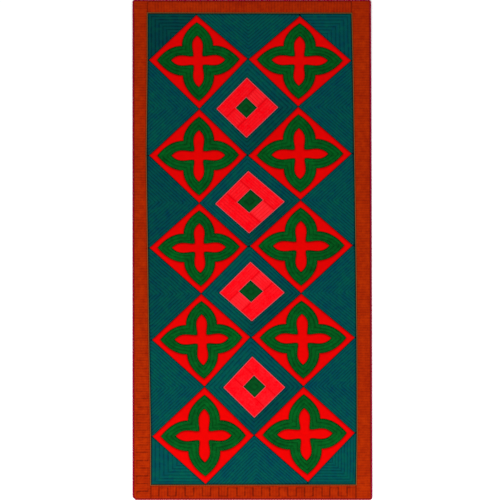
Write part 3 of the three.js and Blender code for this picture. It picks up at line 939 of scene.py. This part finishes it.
def uneven(low, high, steps):
    """Places along a strip with its rungs a little out of step."""
    places = []
    for step in range(steps + 1):
        place = low + (high - low) * step / steps
        phase = place / SIDE_RUNG_PITCH / RUNG_STRAY_LENGTH
        stray = RUNG_STRAY * noise.noise(Vector((phase, low, high)))
        places.append(place + stray * ease(min(place - low, high - place) / END_RUNG_PITCH))
    return places


def border_strip(name, outer, inner, pitch, nap=0.0, butts=()):
    """A strip of the border, with its winding line.

    butts are its columns beside the end strips, and the share of its shade that each one keeps.
    """
    tight, slack = LINE_PULLS[name]
    columns = len(outer)
    pulls = [slack + (tight - slack) * (1 - column / columns) ** PULL_FADE for column in range(columns)]
    sheet = Sheet(outer, inner, winding(pitch, pulls), seam=STITCH, nap=nap, seam_widths=BORDER_AT_CORD)
    for column, kept in butts:
        places = sheet.columns[column]
        sheet.columns[column] = [(point, groove, kept * shade) for point, groove, shade in places]
    line = []
    for brick, first in enumerate(range(0, len(outer) - 1, RUNG_STEPS)):
        rail = INNER_RAIL if brick % 2 else OUTER_RAIL
        line += [column[rail][0] for column in sheet.columns[first:first + RUNG_STEPS + 1]]
    sew_down(sheet, [line], f"rust_{name}", "rust_felt", name)


def side_border(name, way, edge):
    """A strip down one side, from its outer edge to the ground's, which runs from the foot up."""
    points = flat_points(name)
    foot, head = farthest(points, way, -LEAN), farthest(points, way, LEAN)
    low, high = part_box(name)
    steps = RUNG_STEPS * round((high.y - low.y) / SIDE_RUNG_PITCH)
    heights = uneven(low.y, high.y, steps)
    outer, inner, butts = [], [], []
    for column, y in enumerate(heights):
        if y < edge[0].y:
            butts.append((column, BUTT_SHADE["foot"]))
        if y > edge[-1].y:
            butts.append((column, BUTT_SHADE["head"]))
        trim = max(0, foot.y - y, y - head.y)
        outer.append(at_height([foot, head], y) + Vector((way * (CORD_TOUCH - trim), 0)))
        inner.append(at_height(edge, y) + Vector((way * GAP, 0)))
    border_strip(name, outer, inner, SIDE_RUNG_PITCH, butts=butts)


def end_border(name, outer_y, one, other, way):
    """A strip across one end, between the two side strips."""
    steps = RUNG_STEPS * round((other.x - one.x) / END_RUNG_PITCH)
    across = uneven(one.x, other.x, steps)
    outer = [Vector((x, outer_y + way * CORD_TOUCH)) for x in across]
    inner = [end_edge(one, other, Vector((x, 0))) + Vector((0, way * GAP)) for x in across]
    border_strip(name, outer, inner, END_RUNG_PITCH, END_STRIP_NAP)


# Cords

def smoothed(path):
    """A closed path with every point drawn towards its two neighbours."""
    before, after = path[-1:] + path[:-1], round_again(path)[1:]
    return [(one + 2 * point + other) / 4 for one, point, other in zip(before, path, after)]


def even_path(corners, step):
    """Points all round a closed line of corners, a step apart, with its corners rounded."""
    line = round_again(corners)
    length = sum((end - start).length for start, end in zip(line, line[1:]))
    count = round(length / step)
    path = [place for place, _ in steps_along(line, length / count)]
    for _ in range(CORNER_ROUNDS):
        path = smoothed(path)
    return path


def cord(node, corners, lay, slot):
    """Two strands laid round each other along a closed line of corners."""
    low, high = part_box(node)
    radius, middle = (high.z - low.z) / 2, (high.z + low.z) / 2
    path = even_path(corners, lay / TWIST_STEPS)
    count = len(path)
    turns = round(count / TWIST_STEPS)
    bm = bmesh.new()
    groove = bm.verts.layers.float.new("groove")
    for vert, column, row in grid(bm, count, CORD_SIDES):
        station = column % count
        angle = 2 * math.pi * row / CORD_SIDES
        strand = abs(math.cos(angle - math.pi * turns * station / count))
        way = (path[(station + 1) % count] - path[station - 1]).normalized()
        reach = radius * (1 - STRAND_DEPTH * (1 - strand))
        side = Vector((way.y, -way.x)) * reach * math.cos(angle)
        vert.co = Vector((*(path[station] + side), middle + reach * math.sin(angle)))
        # the groove between the strands gets painted shade in the cord's colour
        vert[groove] = 1 - strand
    bmesh.ops.remove_doubles(bm, verts=bm.verts, dist=WELD)
    bmesh.ops.recalc_face_normals(bm, faces=bm.faces)
    smooth(bm)
    piece = made(bm, f"twisted_{node}")
    piece.data.materials.append(YARNS[slot])
    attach(piece, "root")
    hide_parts(node)


def cord_corners(node, ways):
    """The corners of a cord's middle line, from the outermost points of its node."""
    low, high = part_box(node)
    points = flat_points(node)
    return offset([farthest(points, *way) for way in ways], (low.z - high.z) / 2)


# The whole rug

for row in ROWS:
    for side in SIDES:
        motif(row, side)
for index in MEDALLIONS:
    surround(index)
    medallion(index)
    for side in SIDES:
        side_fan(index, side)
    for node in (f"medallion_cord_{index}", f"core_cord_{index}"):
        cord(node, cord_corners(node, FOUR_WAYS), FINE_LAY, "pale_cord")
end_fans()
corner_fans()
side_border("border_left", -1, WEST_EDGE)
side_border("border_right", 1, EAST_EDGE)
end_border("border_head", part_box("border_head")[1].y, HEAD_WEST, HEAD_EAST, 1)
end_border("border_foot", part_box("border_foot")[0].y, FOOT_WEST, FOOT_EAST, -1)
cord("field_cord", offset(EAST_EDGE + WEST_EDGE[::-1], FIELD_CORD_LEAN), SEAM_LAY, "tan_cord")
cord("edge_cord", cord_corners("edge_cord", EIGHT_WAYS), EDGE_LAY, "crimson_cord")
for slot in sewn:
    thread(slot)


# Floor, light and camera

FLOOR_SPAN = 12
FLOOR_TONE = (0.96, 0.96, 0.96, 1)
FLOOR_ROUGHNESS = 0.95
FILL_TONE = (1, 1, 1, 1)
FILL = 0.85
KEY_PLACE = Vector((-0.4, -2.8, 2.5))
KEY_SIZE = 1.1
KEY_POWER = 99


def floor():
    bm = bmesh.new()
    bmesh.ops.create_grid(bm, x_segments=1, y_segments=1, size=FLOOR_SPAN / 2)
    ground = made(bm, "floor")
    surface = Surface("floor")
    surface.set({"Base Color": FLOOR_TONE, "Roughness": FLOOR_ROUGHNESS})
    ground.data.materials.append(surface.material)


def light():
    world = bpy.data.worlds.new("studio")
    world.use_nodes = True
    background = world.node_tree.nodes["Background"]
    background.inputs["Color"].default_value = FILL_TONE
    background.inputs["Strength"].default_value = FILL
    bpy.context.scene.world = world
    data = bpy.data.lights.new("key", "AREA")
    data.energy = KEY_POWER
    data.size = KEY_SIZE
    key = bpy.data.objects.new("key", data)
    key.location = KEY_PLACE
    key.rotation_euler = (-KEY_PLACE).to_track_quat("-Z", "Y").to_euler()
    bpy.context.scene.collection.objects.link(key)


def camera():
    data = bpy.data.cameras.new("camera")
    data.lens = LENS
    data.sensor_width = SENSOR
    eye = bpy.data.objects.new("camera", data)
    eye.location = (*PHOTO_MIDDLE, CROWN + PHOTO_SPAN * LENS / SENSOR)
    bpy.context.scene.collection.objects.link(eye)
    bpy.context.scene.camera = eye


floor()
light()
camera()
bpy.context.scene.view_settings.view_transform = "Standard"
